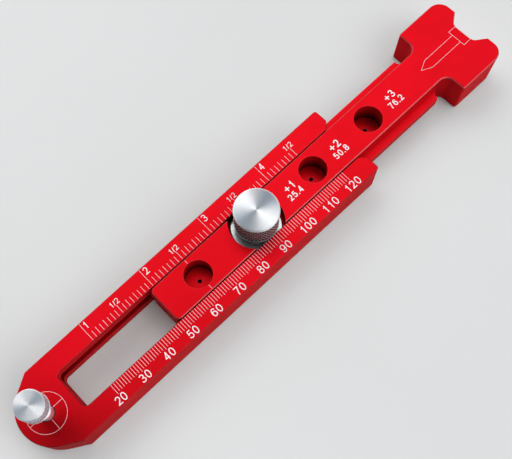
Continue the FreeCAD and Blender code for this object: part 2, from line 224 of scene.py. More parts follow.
class Effects:
    """Shader groups that several finishes share, each built once."""

    def __init__(self) -> None:
        """Builds every group."""
        self.edge_wear = self._edge_wear()
        self.grain = self._grain()
        self.handling = self._handling()
        self.turning = self._turning()
        self.milling = self._milling()
        self.cavity = self._cavity()
        self.broken_edges = self._broken_edges()

    @staticmethod
    def use(writer: TreeWriter, group: bpy.types.NodeTree, **values: Feed) -> bpy.types.NodeOutputs:
        """Places a group in a material, with _ for each space in an input's name."""
        feeds = {name.replace("_", " "): value for name, value in values.items()}
        return writer.add("ShaderNodeGroup", feeds, node_tree=group).outputs

    @staticmethod
    def _edge_wear() -> bpy.types.NodeTree:
        """Builds the group that marks convex edges, broken up by noise.

        Returns:
            The group.
        """
        writer, take = group_tree("edge_wear", TreeKind.SHADER, {
            "Radius": (FLOAT, 0.3 * MM), "Breakup Scale": (FLOAT, 900.0), "Amount": (FLOAT, 1.0)},
            {"Mask": FLOAT})
        rounded = writer.add("ShaderNodeBevel", {"Radius": take["Radius"]}, samples=6)
        facing = writer.compare("DOT_PRODUCT", rounded.outputs[0], writer.normal())
        edge = writer.spread(writer.minus(1.0, facing), low=0.02, high=0.18)
        breakup = writer.noise(writer.place(), take["Breakup Scale"], detail=4.0)
        kept = writer.times(edge, writer.spread(breakup, low=0.32, high=0.62, start=0.25))
        writer.add("NodeGroupOutput", {"Mask": writer.times(kept, take["Amount"])})
        return writer.tree

    @staticmethod
    def _grain() -> bpy.types.NodeTree:
        """Builds the group with the fine pits of a blasted or ground surface.

        Returns:
            The group.
        """
        writer, take = group_tree("surface_grain", TreeKind.SHADER, {
            "Scale": (FLOAT, 9000.0), "Coarse Scale": (FLOAT, 0.22), "Coarse Share": (FLOAT, 0.35)},
            {"Height": FLOAT})
        place = writer.place()
        fine = writer.noise(place, take["Scale"], detail=2.0)
        larger = writer.times(take["Scale"], take["Coarse Scale"])
        coarse = writer.noise(place, larger, detail=3.0)
        fine_share = writer.minus(1.0, take["Coarse Share"])
        height = writer.plus(writer.times(fine, fine_share),
                             writer.times(coarse, take["Coarse Share"]))
        writer.add("NodeGroupOutput", {"Height": height})
        return writer.tree

    @staticmethod
    def _handling() -> bpy.types.NodeTree:
        """Builds the group with the faint smudges that hands leave, and a slow drift of tone.

        Returns:
            The group.
        """
        writer, take = group_tree("handling", TreeKind.SHADER, {
            "Smudge Scale": (FLOAT, 120.0), "Drift Scale": (FLOAT, 22.0)},
            {"Smudges": FLOAT, "Drift": FLOAT})
        wiped = writer.stretched((1.0, 2.2, 1.0), turn=0.6)
        smudges = writer.noise(wiped, take["Smudge Scale"], detail=5.0)
        drift = writer.noise(writer.place(), take["Drift Scale"], detail=1.0)
        writer.add("NodeGroupOutput", {"Smudges": writer.spread(smudges, low=0.38, high=0.68),
                                       "Drift": writer.spread(drift, low=0.3, high=0.7)})
        return writer.tree

    @staticmethod
    def _turning() -> bpy.types.NodeTree:
        """Builds the group with the fine rings that a lathe tool leaves about a vertical axis.

        Its fans mark two sectors of a turned top, on both sides of the axis along X, where the
        finish paints a dark reflection.

        Returns:
            The group.
        """
        writer, take = group_tree("turning_rings", TreeKind.SHADER, {
            "Axis X": (FLOAT, 0.0), "Pitch": (FLOAT, 0.12 * MM), "Hub": (FLOAT, 0.05 * MM),
            "Fan Tightness": (FLOAT, 5.0), "Unevenness": (FLOAT, 0.37)},
            {"Height": FLOAT, "Tone": FLOAT, "Radius": FLOAT, "Fans": FLOAT})
        x, y, z = writer.parts(writer.place())
        off = writer.minus(x, take["Axis X"])
        radius = writer.math("SQRT", writer.plus(writer.times(off, off), writer.times(y, y)))
        along = writer.math("DIVIDE", writer.plus(radius, z), take["Pitch"])
        groove = writer.math("SINE", writer.times(along, 2 * math.pi))
        uneven = writer.noise(writer.whole(x=along), take["Unevenness"], detail=3.0)
        height = writer.times(writer.spread(groove, low=-1.0, high=1.0), uneven)
        across = writer.math("DIVIDE", writer.math("ABSOLUTE", off),
                             writer.plus(radius, take["Hub"]))
        upward = writer.spread(writer.parts(writer.normal())[2], low=0.8, high=0.98)
        painted_fans = writer.times(writer.math("POWER", across, take["Fan Tightness"]), upward)
        writer.add("NodeGroupOutput", {
            "Height": height, "Tone": writer.spread(uneven, low=0.3, high=0.7),
            "Radius": radius, "Fans": painted_fans})
        return writer.tree

    @staticmethod
    def _broken_edges() -> bpy.types.NodeTree:
        """Builds the group that marks the sloping faces of broken edges, a little uneven.

        Returns:
            The group.
        """
        writer, take = group_tree("broken_edges", TreeKind.SHADER,
                                  {"Breakup Scale": (FLOAT, 500.0)}, {"Mask": FLOAT})
        off = writer.math("ABSOLUTE", writer.minus(writer.level(), math.sqrt(0.5)))
        sloping = writer.spread(off, low=0.14, high=0.05)
        breakup = writer.noise(writer.place(), take["Breakup Scale"], detail=3.0)
        mask = writer.times(sloping, writer.spread(breakup, low=0.3, high=0.6, start=0.7))
        writer.add("NodeGroupOutput", {"Mask": mask})
        return writer.tree

    @staticmethod
    def _cavity() -> bpy.types.NodeTree:
        """Builds the group that tells open faces from the insides of slots and pockets, for painted
        shade there.

        Returns:
            The group.
        """
        writer, take = group_tree("cavity", TreeKind.SHADER, {"Reach": (FLOAT, 6.0 * MM)},
                                  {"Openness": FLOAT})
        feeds = {"Distance": take["Reach"]}
        seen = writer.add("ShaderNodeAmbientOcclusion", feeds, samples=8).outputs["AO"]
        writer.add("NodeGroupOutput", {"Openness": writer.spread(seen, low=0.14, high=0.3)})
        return writer.tree

    @staticmethod
    def _milling() -> bpy.types.NodeTree:
        """Builds the group with lengthwise streaks on upright walls, from milling and sliding.

        Returns:
            The group.
        """
        writer, take = group_tree("milling_streaks", TreeKind.SHADER, {"Scale": (FLOAT, 60.0)},
                                  {"Streaks": FLOAT})
        streaks = writer.noise(writer.stretched((1.0, 30.0, 60.0)), take["Scale"], detail=3.0)
        upright = writer.spread(writer.level(), low=0.5, high=0.1)
        mask = writer.times(writer.spread(streaks, low=0.42, high=0.66), upright)
        writer.add("NodeGroupOutput", {"Streaks": mask})
        return writer.tree


def surface(writer: TreeWriter, feeds: dict[str | int, Feed], height: Socket | None = None,
            strength: float = 0.1, depth: float = 0.01 * MM) -> None:
    """Adds the shader and the output.

    Args:
        writer: the material's tree.
        feeds: values or sockets for the shader.
        height: what the bump follows, if there is any.
        strength: strength of the bump.
        depth: depth of the bump in metres.
    """
    if height is not None:
        relief = {"Height": height, "Strength": strength, "Distance": depth}
        feeds = {**feeds, "Normal": writer.add("ShaderNodeBump", relief).outputs[0]}
    shader = writer.add("ShaderNodeBsdfPrincipled", feeds)
    writer.add("ShaderNodeOutputMaterial", {"Surface": shader.outputs[0]})


@dataclass(frozen=True)
class Finish:
    """A finish with a name; each kind fills its material's tree in its own way."""

    name: str

    def build(self, effects: Effects) -> bpy.types.Material:
        """Makes the material.

        Args:
            effects: the shared shader groups.

        Returns:
            The material.
        """
        material = bpy.data.materials.new(self.name)
        material.use_nodes = True
        self.fill(TreeWriter(material.node_tree), effects)
        return material

    def fill(self, writer: TreeWriter, effects: Effects) -> None:
        """Fills the material's tree; every kind of finish has its own."""
        raise NotImplementedError


@dataclass(frozen=True)
class AnodisedFinish(Finish):
    """Fine-blasted aluminium, dyed and sealed, rubbed paler on its edges, with a painted highlight
    on its chamfers and painted shade in its recesses and near the nose.
    """

    edge_shine: float
    dark_spot: float
    lit_floors: float = 0.0
    # Where the painted shade by the nose lies, how far it reaches, and its colour.
    spot_place: Triple = (-12 * MM, -17 * MM, 12 * MM)
    spot_core: float = 8 * MM
    spot_reach: float = 34 * MM
    dye: Colour = (0.66, 0.0035, 0.011, 1.0)
    deep_dye: Colour = (0.58, 0.003, 0.008, 1.0)
    spot_dye: Colour = (0.20, 0.002, 0.003, 1.0)
    # Colour of the painted shade in recesses.
    cavity_dye: Colour = (0.05, 0.0012, 0.0012, 1.0)
    # Paler colour of worn edges, and of the painted highlight on the chamfers.
    rubbed: Colour = (0.98, 0.40, 0.41, 1.0)
    cast: Colour = (0.72, 0.64, 0.62, 1.0)
    cast_share: float = 0.9
    streak_share: float = 0.35
    cavity_reach: float = 16.0 * MM
    wear: float = 0.15
    wear_width: float = 0.22 * MM
    clean_roughness: float = 0.36
    handled_roughness: float = 0.43
    added_on_slopes: float = 0.1
    added_on_worn_edges: float = -0.1
    added_on_walls: float = 0.15
    wall_metal: float = 0.45
    top_metal: float = 0.82

    def fill(self, writer: TreeWriter, effects: Effects) -> None:
        """Fills the material's tree; the light that it throws on other things is a pale cast.

        Args:
            writer: the material's tree.
            effects: the shared shader groups.
        """
        handling = effects.use(writer, effects.handling, Smudge_Scale=150.0, Drift_Scale=25.0)
        grain = effects.use(writer, effects.grain, Scale=9000.0)["Height"]
        edges = effects.use(writer, effects.edge_wear, Radius=self.wear_width,
                            Amount=self.wear)["Mask"]
        slopes = effects.use(writer, effects.broken_edges)["Mask"]
        level = writer.level()
        colour = self._dyed(writer, effects, handling["Drift"], level)
        # Worn edges and a painted highlight on the chamfer faces both turn the colour paler.
        wear_and_highlight = writer.math("MAXIMUM", edges, writer.times(slopes, self.edge_shine))
        colour = writer.blend(wear_and_highlight, colour, self.rubbed)
        bounced = writer.add("ShaderNodeLightPath").outputs["Is Diffuse Ray"]
        colour = writer.blend(writer.times(bounced, self.cast_share), colour, self.cast)
        rough = writer.spread(handling["Smudges"], 0.0, 1.0, self.clean_roughness,
                              self.handled_roughness)
        rough = writer.plus(rough, writer.times(slopes, self.added_on_slopes))
        rough = writer.plus(rough, writer.times(edges, self.added_on_worn_edges))
        wall, top = 0.1, 0.6
        rough = writer.plus(rough, writer.spread(level, wall, top, self.added_on_walls, 0.0))
        metal = writer.spread(level, wall, top, self.wall_metal, self.top_metal)
        surface(writer, {
            "Base Color": colour, "Roughness": rough, "Metallic": metal,
            "Specular IOR Level": 0.05, "Specular Tint": (0.9, 0.12, 0.12, 1.0),
            "Coat Weight": 0.04, "Coat Roughness": 0.35}, grain, strength=0.22)

    def _dyed(self, writer: TreeWriter, effects: Effects, drift: Socket, level: Socket) -> Socket:
        """Gives the colour before wear: the dye drifting and streaked, with painted shade around
        one spot and in recesses.

        Args:
            writer: the material's tree.
            effects: the shared shader groups.
            drift: the slow change of tone.
            level: 1 on level faces and 0 on upright ones.

        Returns:
            The colour.
        """
        streaks = effects.use(writer, effects.milling, Scale=55.0)["Streaks"]
        dye = writer.blend(drift, self.dye, self.deep_dye)
        dye = writer.blend(writer.times(streaks, self.streak_share), dye, self.deep_dye)
        # Painted shade: the dye is darkened around one spot by the nose.
        away = writer.compare("DISTANCE", writer.place(), self.spot_place)
        painted_spot_shade = writer.spread(away, self.spot_core, self.spot_reach, self.dark_spot, 0.0)
        dye = writer.blend(painted_spot_shade, dye, self.spot_dye)
        # Painted shade darkens recesses; level floors are spared as far as lit_floors says.
        openness = effects.use(writer, effects.cavity, Reach=self.cavity_reach)["Openness"]
        lit = writer.spread(level, low=0.7, high=0.95, end=self.lit_floors)
        return writer.blend(writer.math("MAXIMUM", openness, lit), self.cavity_dye, dye)


@dataclass(frozen=True)
class TurnedFinish(Finish):
    """Bare metal with lathe rings about a vertical axis, and two dark bluish fans of painted
    reflection across it.
    """

    axis_x: float
    bright: Colour
    dull: Colour = (0.84, 0.85, 0.86, 1.0)
    fan: Colour = (0.50, 0.585, 0.66, 1.0)
    fan_strength: float = 0.75
    roughness: float = 0.55
    smudge_roughness: float = 0.05
    anisotropy: float = 0.97
    pitch: float = 0.11 * MM

    def fill(self, writer: TreeWriter, effects: Effects) -> None:
        """Fills the material's tree.

        Args:
            writer: the material's tree.
            effects: the shared shader groups.
        """
        rings = effects.use(writer, effects.turning, Axis_X=self.axis_x, Pitch=self.pitch)
        smudges = effects.use(writer, effects.handling, Smudge_Scale=300.0)["Smudges"]
        edges = effects.use(writer, effects.edge_wear, Radius=0.15 * MM, Amount=0.5)["Mask"]
        tone = writer.blend(rings["Tone"], self.dull, self.bright)
        # Painted reflection: two dark bluish fans across the turned top.
        tone = writer.blend(writer.times(rings["Fans"], self.fan_strength), tone, self.fan)
        rough = writer.spread(smudges, 0.0, 1.0, self.roughness,
                              self.roughness + self.smudge_roughness)
        tangent = writer.add("ShaderNodeTangent", direction_type="RADIAL", axis="Z")
        surface(writer, {
            "Base Color": writer.blend(edges, tone, WHITE), "Roughness": rough, "Metallic": 1.0,
            "Anisotropic": self.anisotropy, "Anisotropic Rotation": 0.25,
            "Tangent": tangent.outputs[0]}, rings["Height"], strength=0.03, depth=0.004 * MM)


@dataclass(frozen=True)
class KnurledFinish(Finish):
    """Bare metal with grip diamonds: bright on their tips, with painted shade and some grime
    darkening the grooves between them.
    """

    axis_x: float
    tip_radius: float
    depth: float
    groove: Colour
    tip: Colour = (0.98, 0.92, 0.94, 1.0)
    groove_roughness: float = 0.5
    tip_roughness: float = 0.3
    grime_scale: float = 700.0
    grime_bite: float = 1.7

    def fill(self, writer: TreeWriter, effects: Effects) -> None:
        """Fills the material's tree.

        Args:
            writer: the material's tree.
            effects: the shared shader groups.
        """
        radius = effects.use(writer, effects.turning, Axis_X=self.axis_x)["Radius"]
        grain = effects.use(writer, effects.grain, Scale=12000.0)["Height"]
        height = writer.spread(radius, self.tip_radius - self.depth, self.tip_radius)
        # The grooves get painted shade in the groove colour, and noise patches of grime.
        grime = writer.noise(writer.place(), self.grime_scale, detail=4.0)
        height = writer.times(height, writer.spread(grime, low=0.25, high=0.6, start=0.7))
        tip_share = writer.math("POWER", height, self.grime_bite)
        rough = writer.spread(height, 0.0, 1.0, self.groove_roughness, self.tip_roughness)
        surface(writer, {"Base Color": writer.blend(tip_share, self.groove, self.tip),
                         "Roughness": rough, "Metallic": 0.55}, grain, strength=0.12)


@dataclass(frozen=True)
class SteelFinish(Finish):
    """Ground or rolled steel, with a little grime and rubbed edges."""

    light: Colour = (0.66, 0.67, 0.68, 1.0)
    dark: Colour = (0.46, 0.47, 0.48, 1.0)
    rubbed: Colour = (0.86, 0.87, 0.88, 1.0)
    roughness: float = 0.25
    drift_roughness: float = 0.12

    def fill(self, writer: TreeWriter, effects: Effects) -> None:
        """Fills the material's tree.

        Args:
            writer: the material's tree.
            effects: the shared shader groups.
        """
        handling = effects.use(writer, effects.handling, Smudge_Scale=500.0, Drift_Scale=150.0)
        grain = effects.use(writer, effects.grain, Scale=7000.0)["Height"]
        edges = effects.use(writer, effects.edge_wear, Radius=0.12 * MM, Breakup_Scale=1500.0,
                            Amount=0.7)["Mask"]
        tone = writer.blend(handling["Smudges"], self.light, self.dark)
        rough = writer.spread(handling["Drift"], 0.0, 1.0, self.roughness,
                              self.roughness + self.drift_roughness)
        surface(writer, {"Base Color": writer.blend(edges, tone, self.rubbed),
                         "Roughness": rough, "Metallic": 1.0}, grain)


@dataclass(frozen=True)
class DullFinish(Finish):
    """A surface that isn't metal, in two tones, smoother in some places than in others."""

    tone: Colour
    other_tone: Colour
    smudge_scale: float
    drift_scale: float
    smooth: float
    rough: float

    def handled(self, writer: TreeWriter, effects: Effects) -> bpy.types.NodeOutputs:
        """Returns the smudges and the drift of tone at this finish's own scales."""
        return effects.use(writer, effects.handling, Smudge_Scale=self.smudge_scale,
                           Drift_Scale=self.drift_scale)


@dataclass(frozen=True)
class RubberFinish(DullFinish):
    """Matt black rubber with a dusty bloom."""

    def fill(self, writer: TreeWriter, effects: Effects) -> None:
        """Fills the material's tree.

        Args:
            writer: the material's tree.
            effects: the shared shader groups.
        """
        handling = self.handled(writer, effects)
        grain = effects.use(writer, effects.grain, Scale=6000.0)["Height"]
        colour = writer.blend(handling["Smudges"], self.tone, self.other_tone)
        rough = writer.spread(handling["Drift"], 0.0, 1.0, self.smooth, self.rough)
        surface(writer, {"Base Color": colour, "Roughness": rough}, grain,
                strength=0.3, depth=0.02 * MM)


@dataclass(frozen=True)
class EtchedFinish(DullFinish):
    """Where a laser took the dye off: chalky, with the dye showing faintly through."""

    def fill(self, writer: TreeWriter, effects: Effects) -> None:
        """Fills the material's tree.

        Args:
            writer: the material's tree.
            effects: the shared shader groups.
        """
        grain = effects.use(writer, effects.grain, Scale=14000.0)["Height"]
        fleck = writer.spread(grain, low=0.45, high=0.75, end=0.45)
        colour = writer.blend(fleck, self.tone, self.other_tone)
        smudges = self.handled(writer, effects)["Smudges"]
        rough = writer.spread(smudges, 0.0, 1.0, self.smooth, self.rough)
        surface(writer, {"Base Color": colour, "Roughness": rough}, grain, strength=0.15)


@dataclass(frozen=True)
class FloorFinish(DullFinish):
    """A plain pale table top."""

    def fill(self, writer: TreeWriter, effects: Effects) -> None:
        """Fills the material's tree.

        Args:
            writer: the material's tree.
            effects: the shared shader groups.
        """
        handling = self.handled(writer, effects)
        colour = writer.blend(handling["Drift"], self.tone, self.other_tone)
        rough = writer.spread(handling["Smudges"], 0.0, 1.0, self.smooth, self.rough)
        surface(writer, {"Base Color": colour, "Roughness": rough})


def add_piece(name: str, mesh: bpy.types.Mesh,
              materials: Sequence[bpy.types.Material]) -> bpy.types.Object:
    """Puts a finished mesh in the scene as an object at the origin.

    Args:
        name: the object's name.
        mesh: the mesh, already in place.
        materials: its materials, in the order of its slots.

    Returns:
        The object.
    """
    for slot, material in enumerate(materials):
        if slot < len(mesh.materials):
            mesh.materials[slot] = material
        else:
            mesh.materials.append(material)
    piece = bpy.data.objects.new(name, mesh)
    bpy.context.scene.collection.objects.link(piece)
    return piece


def from_bmesh(name: str, bm: bmesh.types.BMesh) -> bpy.types.Mesh:
    """Turns a bmesh into a mesh with outward normals, and frees it.

    Args:
        name: the mesh's name.
        bm: the bmesh.

    Returns:
        The mesh.
    """
    bmesh.ops.recalc_face_normals(bm, faces=bm.faces)
    mesh = bpy.data.meshes.new(name)
    bm.to_mesh(mesh)
    bm.free()
    return mesh


def grown_mesh(name: str, tree: bpy.types.NodeTree, sizes: dict[str, Feed]) -> bpy.types.Mesh:
    """Runs a Geometry Nodes tree and returns its plain mesh.

    Args:
        name: a name for the mesh.
        tree: the tree.
        sizes: its inputs, by name.

    Returns:
        The mesh that the tree grows.
    """
    seed = bpy.data.meshes.new(name + "_seed")
    carrier = bpy.data.objects.new(name + "_carrier", seed)
    modifier = carrier.modifiers.new("grow", "NODES")
    modifier.node_group = tree
    for item in tree.interface.items_tree:
        if item.item_type == "SOCKET" and item.in_out == "INPUT" and item.name in sizes:
            modifier[item.identifier] = sizes[item.name]
    bpy.context.scene.collection.objects.link(carrier)
    bpy.context.view_layer.update()
    graph = bpy.context.evaluated_depsgraph_get()
    mesh = bpy.data.meshes.new_from_object(carrier.evaluated_get(graph), depsgraph=graph)
    bpy.data.objects.remove(carrier)
    bpy.data.meshes.remove(seed)
    mesh.name = name
    return mesh


def filleted(corners: Sequence[Triple], steps: int = 4) -> list[Pair]:
    """Rounds the corners of an open line of points.

    Args:
        corners: (radius, z, fillet) of each corner.
        steps: straight pieces in each fillet.

    Returns:
        The points of the rounded line.
    """
    most_of_a_side = 0.49
    points: list[Pair] = []
    for index, (radius, z, fillet) in enumerate(corners):
        if fillet <= 0 or index in (0, len(corners) - 1):
            points.append((radius, z))
            continue
        here = Vector((radius, z))
        before = Vector(corners[index - 1][:2]) - here
        after = Vector(corners[index + 1][:2]) - here
        reach = min(fillet / math.tan(before.angle(after) / 2),
                    most_of_a_side * before.length, most_of_a_side * after.length)
        start = here + before.normalized() * reach
        end = here + after.normalized() * reach
        for step in range(steps + 1):
            t = step / steps
            point = start * (1 - t) ** 2 + here * (2 * t * (1 - t)) + end * t ** 2
            points.append((point.x, point.y))
    return points


def add_turned(bm: bmesh.types.BMesh, points: Sequence[Pair], axis_x: float, segments: int,
               material_index: int = 0) -> None:
    """Adds a surface of revolution about a vertical axis.

    Args:
        bm: where it goes.
        points: (radius, z) along the profile; a radius of 0 is closed as a pole.
        axis_x: where the axis stands.
        segments: number of steps round it.
        material_index: material slot of its faces.
    """
    turns = [2 * math.pi * step / segments for step in range(segments)]
    rings: list[list[bmesh.types.BMVert]] = []
    for radius, z in points:
        places = [(axis_x + radius * math.cos(turn), radius * math.sin(turn), z) for turn in turns]
        rings.append([bm.verts.new(place) for place in (places if radius else places[:1])])
    for upper, lower in zip(rings, rings[1:]):
        for step in range(segments):
            after = (step + 1) % segments
            if len(upper) == 1:
                corners = (upper[0], lower[step], lower[after])
            elif len(lower) == 1:
                corners = (upper[step], lower[0], upper[after])
            else:
                corners = (upper[step], lower[step], lower[after], upper[after])
            bm.faces.new(corners).material_index = material_index


@dataclass(frozen=True)
class EtchLevel:
    """Heights of the thin marks: they stand on the top face and just clear it."""

    top: float = 12.012 * MM
    bottom: float = 11.98 * MM
    lift: float = 0.0008 * MM

    @property
    def depth(self) -> float:
        """The marks' thickness."""
        return self.top - self.bottom


ETCH = EtchLevel()


def add_stroke(bm: bmesh.types.BMesh, points: Sequence[Pair], width: float,
               closed: bool = False, lifts: int = 0) -> None:
    """Adds an etched line of constant width with mitred corners.

    Args:
        bm: where it goes.
        points: the line's centre.
        width: its width.
        closed: whether it runs back to its start.
        lifts: how many small steps its upper face is raised by, where it crosses another line.
    """
    sharpest_mitre = 0.3
    path = [Vector(point) for point in points]
    count = len(path)
    edges: list[list[Vector]] = [[], []]
    for index, point in enumerate(path):
        ways: list[Vector] = []
        if closed or index:
            ways.append((point - path[index - 1]).normalized())
        if closed or index < count - 1:
            ways.append((path[(index + 1) % count] - point).normalized())
        sides = [Vector((-way.y, way.x)) for way in ways]
        normal = sum(sides, Vector((0.0, 0.0))).normalized()
        reach = width / 2 / max(sharpest_mitre, normal.dot(sides[0]))
        edges[0].append(point + normal * reach)
        edges[1].append(point - normal * reach)
    heights = (ETCH.bottom, ETCH.top + lifts * ETCH.lift)
    (left_low, left_high), (right_low, right_high) = [
        [[bm.verts.new((p.x, p.y, z)) for p in edge] for z in heights] for edge in edges]
    round_it = (left_low, left_high, right_high, right_low)
    for index in range(count if closed else count - 1):
        after = (index + 1) % count
        for one, other in zip(round_it, round_it[1:] + round_it[:1]):
            bm.faces.new((one[index], other[index], other[after], one[after]))
    if not closed:
        for index in (0, -1):
            bm.faces.new([line[index] for line in round_it])


class TickTree:
    """Geometry Nodes tree that grows a row of scale marks of four lengths."""

    def __init__(self) -> None:
        """Builds the tree."""
        writer, take = group_tree("scale_marks", TreeKind.GEOMETRY, {
            "Count": (INTEGER, 11), "Start": (FLOAT, 0.0), "Pitch": (FLOAT, MM),
            "Near Y": (FLOAT, 0.0), "Direction": (FLOAT, 1.0), "Width": (FLOAT, 0.15 * MM),
            "Depth": (FLOAT, ETCH.depth), "Middle Z": (FLOAT, 0.0), "Least": (FLOAT, MM),
            "Second": (FLOAT, MM), "Third": (FLOAT, MM), "Longest": (FLOAT, MM),
            "Second Every": (FLOAT, 2.0), "Third Every": (FLOAT, 5.0),
            "Longest Every": (FLOAT, 10.0), "Finish": (MATERIAL, None)}, {"Geometry": GEOMETRY})
        line = writer.add("GeometryNodeMeshLine", {
            "Count": take["Count"], "Offset": writer.whole(x=take["Pitch"])}, mode="OFFSET")
        index = writer.add("GeometryNodeInputIndex").outputs[0]
        length = take["Least"]
        for longer in ("Second", "Third", "Longest"):
            left_over = writer.math("MODULO", index, take[longer + " Every"])
            feeds = {0: writer.math("LESS_THAN", left_over, 0.5), 1: length, 2: take[longer]}
            length = writer.add("GeometryNodeSwitch", feeds, input_type="FLOAT").outputs[0]
        reach = writer.times(writer.times(length, 0.5), take["Direction"])
        place = writer.whole(take["Start"], writer.plus(take["Near Y"], reach), take["Middle Z"])
        moved = writer.add("GeometryNodeSetPosition", {
            "Geometry": line.outputs[0], "Offset": place})
        mark = writer.add("GeometryNodeMeshCube", {"Size": (1.0, 1.0, 1.0)})
        marks = writer.add("GeometryNodeInstanceOnPoints", {
            "Points": moved.outputs[0], "Instance": mark.outputs[0],
            "Scale": writer.whole(take["Width"], length, take["Depth"])})
        real = writer.add("GeometryNodeRealizeInstances", {"Geometry": marks.outputs[0]})
        finished = writer.add("GeometryNodeSetMaterial", {
            "Geometry": real.outputs[0], "Material": take["Finish"]})
        writer.add("NodeGroupOutput", {0: finished.outputs[0]})
        self.tree = writer.tree


@dataclass(frozen=True)
class TickRow:
    """One scale's marks, from the slot outwards.

    Lengths go from the least to the longest, and every says how often the three longer ones come.
    """

    name: str
    side: Side
    start: float
    pitch: float
    count: int
    lengths: tuple[float, float, float, float]
    every: Triple
    near: float
    width: float = 0.14 * MM

    def build(self, tree: TickTree, finish: bpy.types.Material) -> bpy.types.Object:
        """Grows the marks.

        Args:
            tree: the shared tree.
            finish: their material.

        Returns:
            The marks as one piece.
        """
        sizes: dict[str, Feed] = {
            "Count": self.count, "Start": self.start, "Pitch": self.pitch,
            "Near Y": self.side.value * self.near, "Direction": float(self.side.value),
            "Width": self.width, "Depth": ETCH.depth, "Middle Z": (ETCH.top + ETCH.bottom) / 2,
            "Finish": finish}
        sizes.update(zip(("Least", "Second", "Third", "Longest"), self.lengths))
        sizes.update(zip(("Second Every", "Third Every", "Longest Every"), self.every))
        return add_piece(self.name, grown_mesh(self.name, tree.tree, sizes), [finish])


@dataclass(frozen=True)
class PenLine:
    """One line of a character, in a box one unit wide and one unit high."""

    points: tuple[Pair, ...]
    closed: bool = False
    square: bool = True


@dataclass(frozen=True)
class Character:
    """A character drawn with pen lines; its sizes are shares of the figure's height."""

    width: float
    advance: float
    lines: tuple[PenLine, ...]
    low: float = 0.0
    high: float = 1.0


def bow(middle: Pair, reach: Pair, start: float, end: float, steps: int = 14) -> tuple[Pair, ...]:
    """Gives points along an oval.

    Args:
        middle: its centre.
        reach: its half width and half height.
        start: first angle in degrees.
        end: last angle in degrees.
        steps: straight pieces between them.

    Returns:
        The points, both ends included.
    """
    turns = [math.radians(start + (end - start) * step / steps) for step in range(steps + 1)]
    return tuple((middle[0] + reach[0] * math.cos(turn), middle[1] + reach[1] * math.sin(turn))
                 for turn in turns)


def oval(middle: Pair, reach: Pair) -> PenLine:
    """Returns a whole oval."""
    return PenLine(bow(middle, reach, 0.0, 360.0, 26)[:-1], closed=True)


def cut(*points: Pair) -> PenLine:
    """Returns a line that ends at its first and last points."""
    return PenLine(points, square=False)


def bar(*points: Pair) -> PenLine:
    """Returns a line that runs half a pen past its first and last points."""
    return PenLine(points)


def digit_shapes() -> dict[str, Character]:
    """Draws a plain upright alphabet: ten digits, a plus, a point and a slash.

    Returns:
        The characters, by what they stand for.
    """
    spine = bow((0.55, 0.45), (0.55, 0.55), 42.0, 186.0)
    two = bow((0.5, 0.71), (0.48, 0.29), 168.0, -25.0) + ((0.74, 0.42), (0.4, 0.22), (0.13, 0.03))
    upper_three = bow((0.47, 0.755), (0.45, 0.245), 158.0, -84.0) + ((0.36, 0.51),)
    lines = {
        "0": (oval((0.5, 0.5), (0.5, 0.5)),),
        "2": (cut(*two), bar((0.0, 0.0), (1.0, 0.0))),
        "3": (cut(*upper_three), cut(*bow((0.48, 0.27), (0.52, 0.27), 86.0, -160.0))),
        "4": (cut((0.7, 0.98), (0.0, 0.27), (1.0, 0.27)), bar((0.74, 1.0), (0.74, 0.0))),
        "5": (cut((0.92, 1.0), (0.18, 1.0), (0.07, 0.46)),
              cut(*bow((0.48, 0.325), (0.52, 0.325), 148.0, -160.0))),
        "6": (oval((0.5, 0.315), (0.5, 0.315)), cut(*spine)),
        "7": (bar((0.0, 1.0), (1.0, 1.0), (0.64, 0.56), (0.42, 0.22), (0.35, 0.0)),),
        "8": (oval((0.5, 0.765), (0.43, 0.235)), oval((0.5, 0.27), (0.5, 0.27))),
        "9": (oval((0.5, 0.685), (0.5, 0.315)), cut(*((1.0 - x, 1.0 - y) for x, y in spine))),
    }
    advance = 0.775
    shapes = {digit: Character(0.6, advance, strokes) for digit, strokes in lines.items()}
    flag = cut((0.0, 0.755), (0.42, 0.79), (0.72, 0.88), (0.86, 0.97))
    shapes["1"] = Character(0.37, advance, (bar((0.86, 1.0), (0.86, 0.0)), flag))
    cross = (bar((0.0, 0.5), (1.0, 0.5)), bar((0.5, 0.0), (0.5, 1.0)))
    shapes["+"] = Character(0.62, 0.8, cross, 0.12, 0.76)
    shapes["."] = Character(0.18, 0.36, (bar((0.0, 0.0), (1.0, 0.0)),))
    shapes["/"] = Character(0.34, 0.44, (cut((0.0, 0.0), (1.0, 1.0)),))
    return shapes


@dataclass(frozen=True)
class Figure:
    """A number etched on a top face, read along +X."""

    text: str
    x: float
    low_y: float
    height: float
    centred: bool = True


